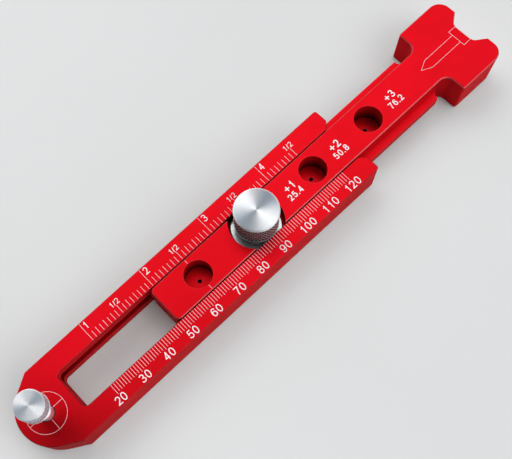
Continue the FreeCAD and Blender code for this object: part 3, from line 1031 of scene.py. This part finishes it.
@dataclass(frozen=True)
class FigureWriter:
    """Draws figures with a pen whose width is a share of their height."""

    shapes: dict[str, Character]
    pen: float

    def write(self, name: str, figures: Sequence[Figure],
              finish: bpy.types.Material) -> bpy.types.Object:
        """Writes the figures.

        Args:
            name: the piece's name.
            figures: what is written, and where.
            finish: their material.

        Returns:
            All of them as one piece.
        """
        bm = bmesh.new()
        for figure in figures:
            self._draw(bm, figure)
        return add_piece(name, from_bmesh(name, bm), [finish])

    def _draw(self, bm: bmesh.types.BMesh, figure: Figure) -> None:
        """Draws one figure.

        Args:
            bm: where it goes.
            figure: what is drawn.
        """
        shapes = [self.shapes[character] for character in figure.text]
        starts: list[float] = []
        along = 0.0
        for shape in shapes:
            starts.append(along + (shape.advance - shape.width) / 2)
            along += shape.advance
        ink_start, ink_end = starts[0], starts[-1] + shapes[-1].width
        held_at = (ink_start + ink_end) / 2 if figure.centred else ink_start
        origin = figure.x - figure.height * held_at
        for start, shape in zip(starts, shapes):
            self._draw_character(bm, shape, origin + figure.height * start, figure)

    def _draw_character(self, bm: bmesh.types.BMesh, shape: Character, left: float,
                        figure: Figure) -> None:
        """Draws one character; lines that cross lie at slightly different heights.

        Args:
            bm: where it goes.
            shape: the character.
            left: where its ink starts along X.
            figure: the figure that it belongs to.
        """
        pen = self.pen * figure.height
        wide = shape.width * figure.height - pen
        low = figure.low_y + shape.low * figure.height + pen / 2
        tall = (shape.high - shape.low) * figure.height - pen
        for index, line in enumerate(shape.lines):
            path = [Vector((left + pen / 2 + x * wide, low + y * tall)) for x, y in line.points]
            if line.square and not line.closed:
                path[0] = path[0] - (path[1] - path[0]).normalized() * pen / 2
                path[-1] = path[-1] + (path[-1] - path[-2]).normalized() * pen / 2
            add_stroke(bm, [tuple(point) for point in path], pen, line.closed, index)


@dataclass
class RailScales:
    """The millimetre scale, the inch scale and the cross-hair on the frame."""

    least_reading: int = 20
    greatest_reading: int = 120
    reading_step: int = 10
    millimetre_lengths: tuple[float, ...] = (3.2 * MM, 3.55 * MM, 3.65 * MM, 3.65 * MM)
    millimetre_near: float = 7.28 * MM
    millimetre_height: float = 2.8 * MM
    millimetre_low: float = -13.95 * MM
    millimetre_shift: float = -0.28 * MM
    inches: int = 4
    parts_of_inch: int = 16
    inch_lengths: tuple[float, ...] = (2.5 * MM, 2.7 * MM, 3.4 * MM, 6.9 * MM)
    inch_near: float = 7.22 * MM
    inch_height: float = 2.5 * MM
    inch_low: float = 11.25 * MM
    inch_shift: float = 0.85 * MM
    half_inch_height: float = 1.9 * MM
    half_inch_low: float = 10.65 * MM
    crosshair_radius: float = 6.55 * MM
    crosshair_start: float = 2.6 * MM
    crosshair_steps: int = 96
    line_width: float = 0.115 * MM
    pen: float = 0.114

    def build(self, ticks: TickTree, shapes: dict[str, Character], finish: bpy.types.Material,
              thin: bpy.types.Material) -> list[bpy.types.Object]:
        """Makes every mark on the frame.

        Args:
            ticks: the shared tree for scale marks.
            shapes: the characters of the figures.
            finish: material of the figures.
            thin: material of the thin lines.

        Returns:
            The pieces.
        """
        writer = FigureWriter(shapes, self.pen)
        pieces = [row.build(ticks, thin) for row in self._rows()]
        pieces.append(writer.write("millimetre_figures", self._millimetre_figures(), finish))
        pieces.append(writer.write("inch_figures", self._inch_figures(), finish))
        pieces.append(self._crosshair(thin))
        for piece in pieces:
            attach(piece, Body.FRAME.value)
        return pieces

    def _rows(self) -> tuple[TickRow, TickRow]:
        """Describes the marks of both scales.

        Returns:
            The millimetre row and the inch row.
        """
        millimetres = self.greatest_reading - self.least_reading + 1
        parts_shown = round((self.inches - 0.5) * self.parts_of_inch) + 1
        inch_every = (2.0, self.parts_of_inch / 2, float(self.parts_of_inch))
        return (TickRow("millimetre_marks", Side.MILLIMETRE, self.least_reading * MM, MM,
                        millimetres, self.millimetre_lengths, (5.0, 10.0, 10.0),
                        self.millimetre_near),
                TickRow("inch_marks", Side.INCH, INCH, INCH / self.parts_of_inch, parts_shown,
                        self.inch_lengths, inch_every, self.inch_near))

    def _millimetre_figures(self) -> list[Figure]:
        """Returns the numbers of the millimetre scale."""
        readings = range(self.least_reading, self.greatest_reading + 1, self.reading_step)
        return [Figure(str(value), value * MM + self.millimetre_shift, self.millimetre_low,
                       self.millimetre_height) for value in readings]

    def _inch_figures(self) -> list[Figure]:
        """Places the numbers of the inch scale.

        Returns:
            The whole inches, each beside its mark, and the halves between them.
        """
        figures = []
        for whole in range(1, self.inches + 1):
            figures.append(Figure(str(whole), whole * INCH + self.inch_shift, self.inch_low,
                                  self.inch_height, centred=False))
            figures.append(Figure("1/2", (whole + 0.5) * INCH, self.half_inch_low,
                                  self.half_inch_height))
        return figures

    def _crosshair(self, finish: bpy.types.Material) -> bpy.types.Object:
        """Draws the circle and the four lines round the centre point.

        Args:
            finish: their material.

        Returns:
            The piece.
        """
        bm = bmesh.new()
        turns = [2 * math.pi * step / self.crosshair_steps for step in range(self.crosshair_steps)]
        circle = [(self.crosshair_radius * math.cos(turn), self.crosshair_radius * math.sin(turn))
                  for turn in turns]
        add_stroke(bm, circle, self.line_width, closed=True)
        start, end = self.crosshair_start, self.crosshair_radius - self.line_width / 2
        for x, y in ((1, 0), (0, 1), (-1, 0), (0, -1)):
            add_stroke(bm, [(x * start, y * start), (x * end, y * end)], self.line_width)
        return add_piece("crosshair", from_bmesh("crosshair", bm), [finish])


@dataclass
class BarMarks:
    """The index lines, the step figures and the nail outline on the sliding bar."""

    pocket_x: float = 63.5 * MM
    index_from: float = 4.95 * MM
    index_to: float = 6.3 * MM
    line_width: float = 0.13 * MM
    nail_tip_x: float = 164.65 * MM
    nail_shank_x: float = 168.15 * MM
    nail_head_x: float = 181.5 * MM
    nail_end_x: float = 184.55 * MM
    nail_half_shank: float = 1.77 * MM
    nail_half_head: float = 3.4 * MM
    steps_x: Triple = (104.55 * MM, 125.2 * MM, 150.6 * MM)
    plus_height: float = 2.75 * MM
    plus_low: float = -0.2 * MM
    added_height: float = 2.3 * MM
    added_low: float = -3.1 * MM
    pen: float = 0.148

    def build(self, shapes: dict[str, Character], finish: bpy.types.Material,
              thin: bpy.types.Material) -> list[bpy.types.Object]:
        """Makes every mark on the bar.

        Args:
            shapes: the characters of the figures.
            finish: material of the figures.
            thin: material of the thin lines.

        Returns:
            The pieces.
        """
        writer = FigureWriter(shapes, self.pen)
        pieces = [self._lines(thin), writer.write("step_figures", self._figures(), finish)]
        for piece in pieces:
            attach(piece, Body.SLIDER.value)
        return pieces

    def _lines(self, finish: bpy.types.Material) -> bpy.types.Object:
        """Draws the index lines beside the first pocket and the outline of a nail on the head.

        Args:
            finish: their material.

        Returns:
            The piece.
        """
        bm = bmesh.new()
        for side in Side:
            ends = [(self.pocket_x, side.value * y) for y in (self.index_from, self.index_to)]
            add_stroke(bm, ends, self.line_width)
        shank, head = self.nail_half_shank, self.nail_half_head
        near, far = self.nail_head_x, self.nail_end_x
        inside = near - self.line_width / 2
        nail = [(inside, -shank), (self.nail_shank_x, -shank), (self.nail_tip_x, 0.0),
                (self.nail_shank_x, shank), (inside, shank)]
        add_stroke(bm, nail, self.line_width)
        add_stroke(bm, [(near, -head), (far, -head), (far, head), (near, head)], self.line_width,
                   closed=True)
        return add_piece("bar_lines", from_bmesh("bar_lines", bm), [finish])

    def _figures(self) -> list[Figure]:
        """Places what each pocket adds to the reading, in inches and in millimetres.

        Returns:
            The figures.
        """
        figures = []
        for inches, x in enumerate(self.steps_x, start=1):
            added = f"{inches * INCH / MM:.1f}"
            figures.append(Figure(f"+{inches}", x, self.plus_low, self.plus_height))
            figures.append(Figure(added, x, self.added_low, self.added_height))
        return figures


class KnurlTree:
    """Geometry Nodes tree that grows a band of diamond knurling about a vertical axis."""

    def __init__(self) -> None:
        """Builds the tree: a grid wrapped round the axis, every other point of it a tip."""
        writer, take = group_tree("diamond_knurl", TreeKind.GEOMETRY, {
            "Columns": (INTEGER, 96), "Rows": (INTEGER, 12), "Tip Radius": (FLOAT, 7 * MM),
            "Groove Depth": (FLOAT, 0.2 * MM), "Axis X": (FLOAT, 0.0), "Low Z": (FLOAT, 0.0),
            "Height": (FLOAT, 5 * MM), "Finish": (MATERIAL, None)}, {"Geometry": GEOMETRY})
        grid = writer.add("GeometryNodeMeshGrid", {
            "Size X": 1.0, "Size Y": 1.0, "Vertices X": writer.plus(take["Columns"], 1.0),
            "Vertices Y": writer.plus(take["Rows"], 1.0)})
        u, v, _ = writer.parts(writer.add("GeometryNodeInputPosition").outputs[0])
        column, row = [writer.math("ROUND", writer.times(writer.plus(share, 0.5), take[count]))
                       for share, count in ((u, "Columns"), (v, "Rows"))]
        tip = writer.minus(1.0, writer.math("MODULO", writer.plus(column, row), 2.0))
        above = writer.math("GREATER_THAN", row, 0.5)
        below = writer.math("LESS_THAN", row, writer.minus(take["Rows"], 0.5))
        tip = writer.times(tip, writer.times(above, below))
        groove = writer.times(writer.minus(1.0, tip), take["Groove Depth"])
        radius = writer.minus(take["Tip Radius"], groove)
        angle = writer.times(writer.math("DIVIDE", column, take["Columns"]), 2 * math.pi)
        climb = writer.times(writer.math("DIVIDE", row, take["Rows"]), take["Height"])
        place = writer.whole(
            writer.plus(take["Axis X"], writer.times(radius, writer.math("COSINE", angle))),
            writer.times(radius, writer.math("SINE", angle)), writer.plus(take["Low Z"], climb))
        wrapped = writer.add("GeometryNodeSetPosition", {
            "Geometry": grid.outputs[0], "Position": place})
        joined = writer.add("GeometryNodeMergeByDistance", {
            "Geometry": wrapped.outputs[0], "Distance": MERGE_REACH})
        faceted = writer.add("GeometryNodeTriangulate", {0: joined.outputs[0]})
        real = writer.add("GeometryNodeRealizeInstances", {"Geometry": faceted.outputs[0]})
        finished = writer.add("GeometryNodeSetMaterial", {
            "Geometry": real.outputs[0], "Material": take["Finish"]})
        writer.add("NodeGroupOutput", {0: finished.outputs[0]})
        self.tree = writer.tree


@dataclass
class KnurledKnob:
    """A turned knob with a knurled band between two chamfers."""

    name: str
    node: str
    body: Body
    axis_x: float
    radius: float
    low_z: float
    top_z: float
    chamfer: float
    lower_chamfer: float
    lower_land: float
    diamonds_round: int
    tip_rows: int
    polish: float
    # Colour of the painted shade and grime in the knurl grooves.
    grime: Colour
    upper_land: float = 0.12 * MM
    groove_depth: float = 0.3 * MM
    soft: float = 0.06 * MM
    centre_mark: float = 0.22 * MM
    centre_depth: float = 0.03 * MM
    crisp_angle: float = 25.0

    def underside(self) -> list[Triple]:
        """Gives (radius, z, fillet) of the corners below the band; every knob has its own."""
        raise NotImplementedError

    def build(self, tree: KnurlTree, effects: Effects) -> bpy.types.Object:
        """Makes the knob.

        Args:
            tree: the shared tree for knurling.
            effects: the shared shader groups.

        Returns:
            The knob as one closed piece.
        """
        bright = (self.polish, self.polish + 0.005, self.polish + 0.01, 1.0)
        face = TurnedFinish(self.name + "_face", self.axis_x, bright).build(effects)
        side = KnurledFinish(self.name + "_grip", self.axis_x, self.radius, self.groove_depth,
                             self.grime).build(effects)
        mesh = self._shape(tree, side)
        piece = add_piece(self.name, mesh, [face, side])
        mesh.shade_smooth()
        mesh.set_sharp_from_angle(angle=math.radians(self.crisp_angle))
        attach(piece, self.body.value)
        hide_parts(self.node)
        return piece

    def _shape(self, tree: KnurlTree, side: bpy.types.Material) -> bpy.types.Mesh:
        """Joins the knurled band with the turned faces above and below it.

        Args:
            tree: the shared tree for knurling.
            side: material of the band, in slot 1.

        Returns:
            The closed mesh.
        """
        columns = 2 * self.diamonds_round
        band_low = self.low_z + self.lower_chamfer + self.lower_land
        band_high = self.top_z - self.chamfer - self.upper_land
        bm = bmesh.new()
        bm.from_mesh(grown_mesh(self.name + "_band", tree.tree, {
            "Columns": columns, "Rows": self.tip_rows, "Tip Radius": self.radius,
            "Groove Depth": self.groove_depth, "Axis X": self.axis_x, "Low Z": band_low,
            "Height": band_high - band_low, "Finish": side}))
        for knurl in bm.faces:
            knurl.material_index = 1
        valley = self.radius - self.groove_depth
        upper = filleted([
            (0.0, self.top_z - self.centre_depth, 0.0), (self.centre_mark, self.top_z, 0.0),
            (self.radius - self.chamfer, self.top_z, self.soft),
            (self.radius, self.top_z - self.chamfer, self.soft),
            (self.radius, band_high, 0.0), (valley, band_high, 0.0)])
        lower = filleted([
            (valley, band_low, 0.0), (self.radius, band_low, 0.0),
            (self.radius, self.low_z + self.lower_chamfer, self.soft),
            (self.radius - self.lower_chamfer, self.low_z, self.soft), *self.underside()])
        add_turned(bm, upper, self.axis_x, columns)
        add_turned(bm, lower[:2], self.axis_x, columns, material_index=1)
        add_turned(bm, lower[1:], self.axis_x, columns)
        bmesh.ops.remove_doubles(bm, verts=bm.verts, dist=MERGE_REACH)
        return from_bmesh(self.name, bm)


@dataclass
class ClampKnob(KnurledKnob):
    """The knob that clamps the bar: a hub over the steel disc, and a grooved spigot in it."""

    name: str = "clamp_knob"
    node: str = "lock_knob"
    body: Body = Body.LOCK_KNOB
    axis_x: float = LOCK_X
    radius: float = 7.3 * MM
    low_z: float = 12.4 * MM
    top_z: float = 21.6 * MM
    chamfer: float = 0.45 * MM
    lower_chamfer: float = 0.12 * MM
    lower_land: float = 0.03 * MM
    diamonds_round: int = 40
    tip_rows: int = 8
    polish: float = 0.86
    grime: Colour = (0.03, 0.012, 0.016, 1.0)
    hub: float = 4.2 * MM
    hub_low: float = 7.85 * MM
    hub_fillet: float = 0.2 * MM
    spigot: float = 3.6 * MM
    spigot_low: float = 5.0 * MM
    ring_seat: float = 3.1 * MM
    ring_seat_high: float = 6.3 * MM
    ring_seat_low: float = 5.6 * MM
    bore: float = 2.55 * MM
    bore_high: float = 18.0 * MM

    def underside(self) -> list[Triple]:
        """Gives the profile below the band.

        Returns:
            (radius, z, fillet) of each corner.
        """
        return [(self.hub, self.low_z, self.hub_fillet), (self.hub, self.hub_low, 0.0),
                (self.spigot, self.hub_low, 0.0), (self.spigot, self.ring_seat_high, 0.0),
                (self.ring_seat, self.ring_seat_high, 0.0),
                (self.ring_seat, self.ring_seat_low, 0.0),
                (self.spigot, self.ring_seat_low, 0.0), (self.spigot, self.spigot_low, 0.0),
                (self.bore, self.spigot_low, 0.0), (self.bore, self.bore_high, 0.0),
                (0.0, self.bore_high, 0.0)]


@dataclass
class PointKnob(KnurledKnob):
    """The small knob over the centre point, with a plain collar and a bore for the stem."""

    name: str = "point_knob"
    node: str = "pivot_knob"
    body: Body = Body.PIVOT_PIN
    axis_x: float = 0.0
    radius: float = 4.7 * MM
    low_z: float = 24.4 * MM
    top_z: float = 30.4 * MM
    chamfer: float = 0.3 * MM
    lower_chamfer: float = 0.3 * MM
    lower_land: float = 0.7 * MM
    diamonds_round: int = 26
    tip_rows: int = 4
    polish: float = 0.99
    grime: Colour = (0.42, 0.36, 0.38, 1.0)
    collar: float = 3.3 * MM
    collar_low: float = 18.53 * MM
    collar_fillet: float = 0.3 * MM
    collar_break: float = 0.3 * MM
    collar_rise: float = 0.27 * MM
    bore: float = 1.78 * MM
    bore_high: float = 27.03 * MM

    def underside(self) -> list[Triple]:
        """Gives the profile below the band.

        Returns:
            (radius, z, fillet) of each corner.
        """
        return [(self.collar, self.low_z, self.collar_fillet),
                (self.collar, self.collar_low + self.collar_rise, 0.0),
                (self.collar - self.collar_break, self.collar_low, 0.0),
                (self.bore, self.collar_low, 0.0), (self.bore, self.bore_high, 0.0),
                (0.0, self.bore_high, 0.0)]


@dataclass(frozen=True)
class SoftLight:
    """A rectangular studio light."""

    name: str
    place: Triple
    aim: Triple
    size: Pair
    watts: float

    def build(self) -> None:
        """Hangs the light in the scene."""
        data = bpy.data.lights.new(self.name, "AREA")
        data.shape = "RECTANGLE"
        data.size, data.size_y = self.size
        data.energy = self.watts
        light = bpy.data.objects.new(self.name, data)
        light.location = self.place
        way = Vector(self.aim) - Vector(self.place)
        light.rotation_euler = way.to_track_quat("-Z", "Y").to_euler()
        bpy.context.scene.collection.objects.link(light)


@dataclass(frozen=True)
class Glow:
    """A soft bright part of the room in one direction, or a dim one if its strength is negative."""

    towards: Triple
    tightness: float
    strength: float


@dataclass(frozen=True)
class Studio:
    """A pale table in a room with broad soft windows, dim at both ends of the beam.

    The room's light falls off downwards from height_bright to height_dim, and along X through
    head_end and nose_end. Where the table stops, the camera sees a plain backdrop.
    """

    finish: Finish = FloorFinish("pale_table", (0.70, 0.69, 0.67, 1.0), (0.755, 0.745, 0.725, 1.0),
                                 smudge_scale=14.0, drift_scale=5.0, smooth=0.55, rough=0.62)
    room: Colour = (0.97, 0.98, 1.0, 1.0)
    dim_room: Colour = (0.06, 0.11, 0.17, 1.0)
    backdrop: Colour = (0.72, 0.73, 0.75, 1.0)
    base: float = 0.13
    least: float = 0.02
    height_dim: float = 0.16
    height_bright: float = 0.5
    low_share: float = 0.06
    head_end: Pair = (0.55, 0.85)
    nose_end: Pair = (-0.1, -0.5)
    table_half: float = 5.0
    table_drop: float = 0.02 * MM
    glows: tuple[Glow, ...] = (
        Glow((0.10, 0.85, 0.52), 3.0, 1.9),
        Glow((0.60, 0.20, 0.77), 9.0, 1.2),
        Glow((0.05, -0.80, 0.60), 3.5, 1.85),
        Glow((-0.36, 0.30, 0.88), 14.0, -0.25),
        Glow((0.66, -0.66, 0.36), 6.0, 1.9),
    )
    far_bank: SoftLight = SoftLight("far_bank", (0.02, 0.72, 0.80), (0.09, 0.0, 0.0), (1.0, 0.6),
                                    2.0)

    def build(self, effects: Effects) -> None:
        """Makes the table, the room and the light.

        Args:
            effects: the shared shader groups.
        """
        finish = self.finish.build(effects)
        mesh = bpy.data.meshes.new("table_top")
        signs = ((-1, -1), (1, -1), (1, 1), (-1, 1))
        corners = [(x * self.table_half, y * self.table_half, -self.table_drop) for x, y in signs]
        mesh.from_pydata(corners, [], [(0, 1, 2, 3)])
        add_piece("table_top", mesh, [finish])
        self._build_room()
        self.far_bank.build()

    def _build_room(self) -> None:
        """Makes the room's light, dimmer towards both ends of the beam."""
        world = bpy.data.worlds.new("room")
        world.use_nodes = True
        writer = TreeWriter(world.node_tree)
        direction = writer.add("ShaderNodeTexCoord").outputs["Generated"]
        sideways, _, upwards = writer.parts(direction)
        strength: Feed = self.base
        for glow in self.glows:
            facing = writer.compare("DOT_PRODUCT", direction, glow.towards)
            ahead = writer.math("POWER", writer.math("MAXIMUM", facing, 0.0), glow.tightness)
            strength = writer.plus(strength, writer.times(ahead, glow.strength))
        strength = writer.math("MAXIMUM", strength, self.least)
        strength = writer.times(strength, writer.spread(upwards, self.height_dim,
                                                        self.height_bright, self.low_share))
        ends = writer.plus(writer.spread(sideways, *self.head_end),
                           writer.spread(sideways, *self.nose_end))
        colour = writer.blend(ends, self.room, self.dim_room)
        light = writer.add("ShaderNodeBackground", {"Color": colour, "Strength": strength})
        backdrop = writer.add("ShaderNodeBackground", {"Color": self.backdrop, "Strength": 1.0})
        seen = writer.add("ShaderNodeLightPath").outputs["Is Camera Ray"]
        shown = writer.add("ShaderNodeMixShader", {
            0: seen, 1: light.outputs[0], 2: backdrop.outputs[0]})
        writer.add("ShaderNodeOutputWorld", {0: shown.outputs[0]})
        bpy.context.scene.world = world


@dataclass(frozen=True)
class PhotoCamera:
    """The camera at the photograph's viewing angle, found from the marks of the two scales."""

    place: Triple = (27.801 * MM, -61.0435 * MM, 229.1328 * MM)
    turn: Triple = (14.0186, 4.1998, -42.9177)
    lens: float = 50.843
    sensor: float = 36.0
    shift: Pair = (0.1162, 0.17565)
    nearest: float = 0.01
    farthest: float = 20.0

    def build(self) -> None:
        """Makes the camera and sets it as the scene's own."""
        data = bpy.data.cameras.new("photo_camera")
        data.lens = self.lens
        data.sensor_width = self.sensor
        data.shift_x, data.shift_y = self.shift
        data.clip_start, data.clip_end = self.nearest, self.farthest
        camera = bpy.data.objects.new("photo_camera", data)
        camera.location = self.place
        camera.rotation_euler = [math.radians(angle) for angle in self.turn]
        bpy.context.scene.collection.objects.link(camera)
        bpy.context.scene.camera = camera


RING_STEEL = SteelFinish("ring_steel", (0.34, 0.34, 0.36, 1.0), (0.2, 0.2, 0.22, 1.0),
                         roughness=0.32)


@dataclass(frozen=True)
class PackedFinishes:
    """The finish of each solid that stays in view, by the solid's name."""

    frame: Finish = AnodisedFinish("frame_red", edge_shine=0.03, dark_spot=0.62)
    slider: Finish = AnodisedFinish("bar_red", edge_shine=0.36, dark_spot=0.0, lit_floors=1.0)
    lock_disc: Finish = TurnedFinish(
        "disc_steel", LOCK_X, bright=(0.84, 0.85, 0.85, 1.0), dull=(0.66, 0.67, 0.67, 1.0),
        fan=(0.40, 0.42, 0.43, 1.0), fan_strength=0.3, roughness=0.22, anisotropy=0.6,
        pitch=0.09 * MM)
    lock_ring: Finish = RING_STEEL
    pivot_ring: Finish = RING_STEEL
    lock_screw: Finish = SteelFinish("screw_steel")
    pivot_stem: Finish = SteelFinish("stem_steel", (0.93, 0.92, 0.94, 1.0),
                                     (0.80, 0.78, 0.82, 1.0), roughness=0.5)
    needle: Finish = SteelFinish("needle_steel", (0.6, 0.61, 0.63, 1.0), (0.4, 0.4, 0.42, 1.0),
                                 roughness=0.18)
    pivot_seal: Finish = RubberFinish(
        "seal_rubber", (0.012, 0.012, 0.013, 1.0), (0.06, 0.058, 0.055, 1.0),
        smudge_scale=900.0, drift_scale=300.0, smooth=0.55, rough=0.75)

    def dress(self, nodes: dict[str, bpy.types.Object], effects: Effects) -> None:
        """Puts the finishes on the solids.

        Args:
            nodes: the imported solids, by name.
            effects: the shared shader groups.
        """
        built: dict[Finish, bpy.types.Material] = {}
        for part in fields(self):
            finish = getattr(self, part.name)
            if finish not in built:
                built[finish] = finish.build(effects)
            for slot in nodes[part.name].material_slots:
                slot.material = built[finish]
            log.info("finish %s on %s", finish.name, part.name)


def etched(name: str, tone: Colour, other_tone: Colour) -> EtchedFinish:
    """Returns an etched finish of two tones."""
    return EtchedFinish(name, tone, other_tone, smudge_scale=900.0, drift_scale=200.0,
                        smooth=0.62, rough=0.8)


def main() -> None:
    """Builds the compass's looks piece by piece, then the studio and the camera."""
    logging.basicConfig(level=logging.INFO, format="%(name)s: %(message)s")
    bpy.context.scene.view_settings.view_transform = "Standard"
    effects = Effects()
    PackedFinishes().dress(frame["nodes"], effects)
    white = etched("etched_white", (0.93, 0.90, 0.90, 1.0), (0.86, 0.62, 0.62, 1.0)).build(effects)
    thin = etched("etched_thin", (0.90, 0.62, 0.64, 1.0), (0.85, 0.36, 0.38, 1.0)).build(effects)
    shapes = digit_shapes()
    pieces = RailScales().build(TickTree(), shapes, white, thin)
    pieces += BarMarks().build(shapes, white, thin)
    knurls = KnurlTree()
    for knob in (ClampKnob(), PointKnob()):
        pieces.append(knob.build(knurls, effects))
    for piece in pieces:
        log.info("piece %s: %d faces", piece.name, len(piece.data.polygons))
    Studio().build(effects)
    PhotoCamera().build()


if __name__ == "__main__":
    main()
